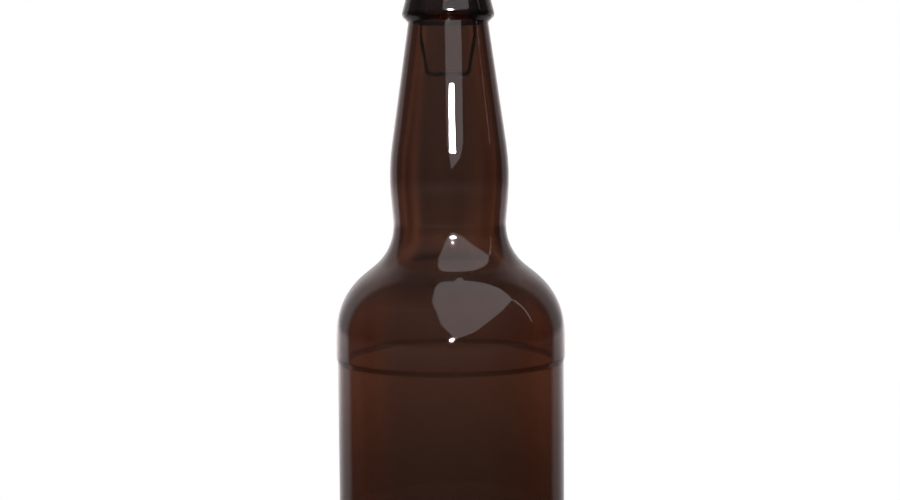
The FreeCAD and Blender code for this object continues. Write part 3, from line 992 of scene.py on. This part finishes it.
@dataclass
class Studio:
    """Pale floor, a surround with levels of its own all round, one big reflector and small lamps."""

    floor_radius: float = 0.40
    floor_paleness: float = 0.78
    floor_roughness: float = 0.75
    ceiling_level: float = 0.17
    leftward_gain: float = 0.22
    overhead_fade: tuple[float, float] = (0.62, 0.85)
    overhead_share: float = 0.12
    diffuse_level: float = 0.75
    surround_tint: tuple[float, float, float] = (1.0, 0.90, 0.91)
    levels_by_azimuth: tuple[tuple[float, float], ...] = (
        (0.0, 0.29), (5.0, 0.31), (9.0, 0.78), (20.0, 0.90), (30.0, 0.66), (40.0, 0.48), (52.0, 0.45),
        (60.0, 0.07), (95.0, 0.06), (120.0, 0.14), (180.0, 0.17))
    levels_by_elevation: tuple[tuple[float, float], ...] = (
        (-14.0, 0.38), (-11.5, 0.46), (-9.0, 0.70), (-7.0, 0.90), (-5.8, 0.95), (-4.0, 0.74), (-2.0, 0.50))
    band_peak: float = 1.8
    card_level: float = 1.50
    card_tint: tuple[float, float, float] = (1.0, 0.97, 1.0)
    card_distance: float = 0.95
    card_centre: Vector = field(default_factory=lambda: Vector((0.0, 0.0, 0.20)))
    reflector_corners: tuple[tuple[float, float], ...] = (
        (4.0, 5.0), (21.0, 11.0), (50.0, 30.0), (88.0, 41.0), (100.0, 56.0), (109.0, 69.0), (118.0, 80.0),
        (180.0, 87.2), (-115.0, 84.0), (-75.0, 80.0), (-40.0, 70.0), (-28.0, 55.0), (-17.0, 42.0),
        (-10.0, 24.0))
    stand_corners: tuple[tuple[float, float], ...] = ((88.0, 41.0), (90.5, 41.0), (91.0, 12.0), (89.5, 12.0))
    lamps: tuple[Lamp, ...] = (
        Lamp("neck_lamp", (0.062, -0.55, 0.385), (0.105, 0.080), 160.0, 1.0, 34.0),
        Lamp("root_lamp", (0.045, -0.55, 0.475), (0.030, 0.012), 90.0, 26.0, 6.0),
        Lamp("shoulder_lamp", (0.008, -0.575, 0.212), (0.020, 0.014), 90.0, 7.5, 10.0),
        Lamp("collar_lamp", (0.010, -0.575, 0.303), (0.020, 0.014), 60.0, -2.0, 13.0),
    )
    camera_distance: float = 0.570
    camera_height: float = 0.2435
    camera_pitch: float = math.radians(4.3)
    camera_roll: float = math.radians(-0.45)
    camera_sensor: float = 36.0
    camera_lens: float = 59.48
    camera_near: float = 0.01
    glass_only: bpy.types.Collection = field(default_factory=lambda: bpy.data.collections.new("glass_only"))

    def build_world(self) -> None:
        """Light from all round: white where the camera looks, and set levels for what the bottle mirrors."""
        world = bpy.data.worlds.new("studio")
        bpy.context.scene.world = world
        world.use_nodes = True
        sheet = NodeSheet(world.node_tree)
        place = sheet.add("ShaderNodeTexCoord")
        parts = sheet.add("ShaderNodeSeparateXYZ", {"Vector": place.outputs["Generated"]})
        level = sheet.math("SQRT", sheet.math(
            "ADD", sheet.math("POWER", parts.outputs["X"], 2.0), sheet.math("POWER", parts.outputs["Y"], 2.0)))
        facing = sheet.math("DIVIDE", parts.outputs["Y"], sheet.math("MAXIMUM", level, 1e-4))
        sector = sheet.ramp(
            sheet.math("ADD", sheet.math("MULTIPLY", facing, 0.5), 0.5),
            [(0.5 + 0.5 * math.cos(math.radians(azimuth)), (value, value, value))
             for azimuth, value in reversed(self.levels_by_azimuth)])
        fade_from, fade_to = self.overhead_fade
        overhead = sheet.add("ShaderNodeMapRange", {
            "Value": parts.outputs["Z"], "From Min": fade_from, "From Max": fade_to,
            "To Min": 1.0, "To Max": self.overhead_share})
        sector = sheet.math("MULTIPLY", sector, overhead.outputs["Result"])
        band = sheet.ramp(sheet.math("ADD", sheet.math("MULTIPLY", parts.outputs["Z"], 0.5), 0.5), [
            (0.5 + 0.5 * math.sin(math.radians(elevation)), (value, value, value))
            for elevation, value in self.levels_by_elevation])
        sector = sheet.math("MULTIPLY", sector, sheet.math("MULTIPLY", band, self.band_peak))
        leftward = sheet.math("SUBTRACT", 1.0, sheet.math("MULTIPLY", parts.outputs["X"], self.leftward_gain))
        ceiling = sheet.math("MULTIPLY", sheet.math("MAXIMUM", parts.outputs["Z"], 0.0), self.ceiling_level)
        glow = sheet.math("MULTIPLY", sheet.math("ADD", sector, ceiling), leftward)
        path = sheet.add("ShaderNodeLightPath")
        soft = sheet.math("MULTIPLY", path.outputs["Is Diffuse Ray"], self.diffuse_level)
        seen = sheet.math("MAXIMUM", path.outputs["Is Camera Ray"], soft)
        strength = sheet.math("MAXIMUM", glow, seen)
        colour = sheet.ramp(seen, [(0.0, self.surround_tint), (1.0, WHITE)])
        background = sheet.add("ShaderNodeBackground", {"Color": colour, "Strength": strength})
        sheet.add("ShaderNodeOutputWorld", {"Surface": background.outputs["Background"]})

    def build_floor(self) -> None:
        """A round pale floor under the bottle."""
        material, sheet = new_material("pale_floor")
        pale = self.floor_paleness
        surface = sheet.add("ShaderNodeBsdfPrincipled", {
            "Base Color": (pale, pale, pale, 1.0), "Roughness": self.floor_roughness})
        sheet.add("ShaderNodeOutputMaterial", {"Surface": surface.outputs["BSDF"]})
        bm = bmesh.new()
        bmesh.ops.create_circle(bm, cap_ends=True, segments=128, radius=self.floor_radius)
        floor = finish_object("floor", bm, material)
        floor.visible_glossy = False

    def build_card(self, name: str, compass: tuple[tuple[float, float], ...]) -> None:
        """A glowing card, given by the directions of its corners as the bottle sees them.

        Args:
            name: The card's name.
            compass: Azimuth from the camera's side and elevation of each corner, in degrees.
                They are the directions in which the bottle mirrors the patch that the card makes.
        """
        material, sheet = new_material(name)
        glow = sheet.add("ShaderNodeEmission", {"Color": (*self.card_tint, 1.0), "Strength": self.card_level})
        sheet.add("ShaderNodeOutputMaterial", {"Surface": glow.outputs["Emission"]})
        bm = bmesh.new()
        rim = []
        for azimuth, elevation in compass:
            turn = Euler((math.radians(elevation), 0.0, math.radians(180.0 + azimuth)))
            ray = Vector((0.0, self.card_distance, 0.0))
            ray.rotate(turn)
            rim.append(bm.verts.new(self.card_centre + ray))
        bmesh.ops.contextual_create(bm, geom=rim)
        bmesh.ops.triangulate(bm, faces=bm.faces[:])
        card = finish_object(name, bm, material)
        card.visible_camera = False

    def aim_lamps_at(self, glass: bpy.types.Object) -> None:
        """Let the lamps light only the glass.

        Args:
            glass: The piece that the lamps light.
        """
        self.glass_only.objects.link(glass)

    def build_lamp(self, lamp: Lamp) -> None:
        """A lamp in front of the bottle that shows only as a reflection in the glass.

        Args:
            lamp: The lamp's place, size and beam.
        """
        width, height = lamp.sides
        light = bpy.data.lights.new(lamp.name, "AREA")
        light.shape = "RECTANGLE"
        light.size, light.size_y = width, height
        light.energy = lamp.radiance * math.pi * width * height
        light.spread = math.radians(lamp.beam)
        holder = bpy.data.objects.new(lamp.name, light)
        holder.location = lamp.place
        holder.visible_diffuse = False
        holder.light_linking.receiver_collection = self.glass_only
        aim = math.atan2(lamp.place[0], -lamp.place[1])
        holder.rotation_euler = Euler((math.radians(90.0 - lamp.tip), 0.0, aim))
        bpy.context.scene.collection.objects.link(holder)

    def build_camera(self) -> None:
        """A camera in front of the shoulder, tipped down and rolled a little."""
        camera = bpy.data.cameras.new("camera")
        camera.sensor_width = self.camera_sensor
        camera.lens = self.camera_lens
        camera.clip_start = self.camera_near
        holder = bpy.data.objects.new("camera", camera)
        holder.location = (0.0, -self.camera_distance, self.camera_height)
        look = Euler((math.radians(90.0) - self.camera_pitch, 0.0, 0.0)).to_matrix()
        holder.rotation_euler = (look @ Matrix.Rotation(self.camera_roll, 3, "Z")).to_euler()
        bpy.context.scene.collection.objects.link(holder)
        bpy.context.scene.camera = holder

    def build(self) -> None:
        """Make the studio."""
        self.build_world()
        self.build_floor()
        self.build_card("reflector", self.reflector_corners)
        self.build_card("reflector_stand", self.stand_corners)
        for lamp in self.lamps:
            self.build_lamp(lamp)
        self.build_camera()
        bpy.context.scene.view_settings.view_transform = "Standard"


def main() -> None:
    """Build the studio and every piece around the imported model."""
    logging.basicConfig(level=logging.INFO, format="%(message)s")
    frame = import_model()
    JOINTS.update({joint["name"]: Vector(joint["pos_m"]) for joint in frame["joints"]})
    studio = Studio()
    studio.build()
    studio.aim_lamps_at(Bottle().build())
    WireClosure().build()
    head = StopperHead()
    head.build_stopper()
    head.build_washer()


if __name__ == "__main__":
    main()
